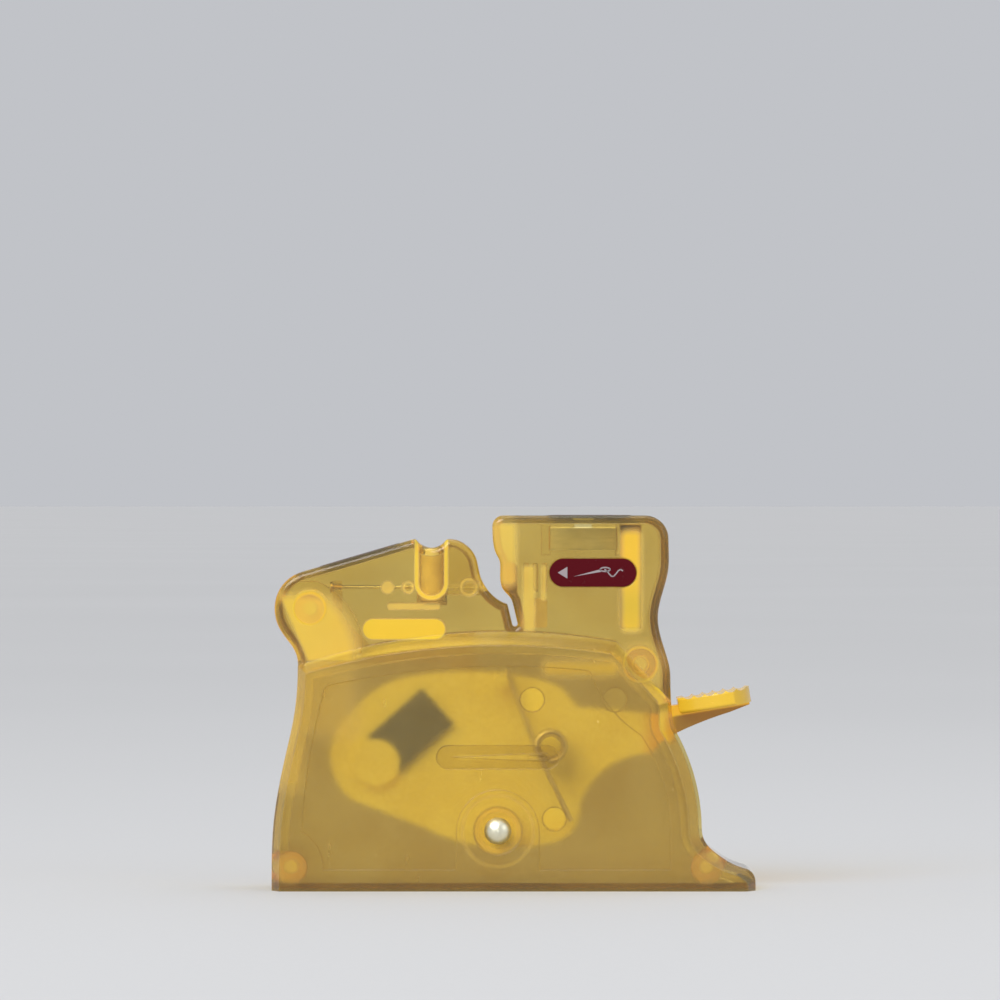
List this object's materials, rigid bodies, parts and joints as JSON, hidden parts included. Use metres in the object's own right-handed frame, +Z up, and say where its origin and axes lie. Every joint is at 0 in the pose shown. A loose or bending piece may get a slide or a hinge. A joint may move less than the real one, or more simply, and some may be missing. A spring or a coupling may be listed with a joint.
{
  "type": "desk needle threader",
  "caption": "Desk-top needle threader: translucent two-shell case, finger paddle on a pin, and a fine hook wire that slides through an upright needle's eye and back.",
  "frame": {"origin": "middle of the base, on the plane where the two shells meet", "axes": "+X to the right towards the finger paddle, +Y to the back, +Z up"},
  "size_m": [0.0702, 0.018, 0.0545],
  "materials": {
    "amber_shell": "translucent, frosted bulge, clear towers",
    "amber_lever": "translucent, satin",
    "slide_plastic": "matte",
    "guide_plastic": "matte",
    "clamp_rubber": "matte",
    "dark_steel": "satin",
    "bright_pin": "polished",
    "guide_tube": "satin",
    "spring_wire": "drawn wire",
    "hook_steel": "polished",
    "ferrule_brass": "turned",
    "blade_steel": "ground",
    "front_print": "printed film",
    "top_print": "printed film"
  },
  "bodies": {
    "case": {"front_shell": "amber_shell", "back_shell": "amber_shell", "pivot_pin": "bright_pin", "return_spring": "spring_wire", "needle_guide_block": "guide_plastic", "needle_guide_tube": "guide_tube", "thread_clamp_block": "clamp_rubber", "cutter_blade": "blade_steel", "front_label": "front_print", "left_top_label": "top_print", "right_top_label": "top_print"},
    "lever_body": {"lever": "amber_lever", "sector_steel": "dark_steel"},
    "carriage": {"hook_carriage": "slide_plastic", "hook_ferrule": "ferrule_brass", "hook_wire": "hook_steel"},
    "spring_leg": {"return_spring_leg": "spring_wire"}
  },
  "joints": [
    {"name": "lever_press", "type": "hinge", "parent": "case", "child": "lever_body", "pos_m": [-0.0023, 0, 0.0087], "axis": [0, 1, 0], "range_deg": [0, 28], "stiffness_Nm_per_rad": 0.08, "springref_deg": -17.19},
    {"name": "hook_slide", "type": "slide", "parent": "case", "child": "carriage", "axis": [1, 0, 0], "range_m": [0, 0.0105]},
    {"name": "spring_wind", "type": "hinge", "parent": "case", "child": "spring_leg", "pos_m": [0.0054, 0, 0.0209], "axis": [0, 1, 0], "range_deg": [0, 73.2]}
  ],
  "couplings": [
    {"joint": "hook_slide", "follows": "lever_press", "m_per_rad": 0.021287},
    {"joint": "spring_wind", "follows": "lever_press", "ratio": 2.6119}
  ]
}
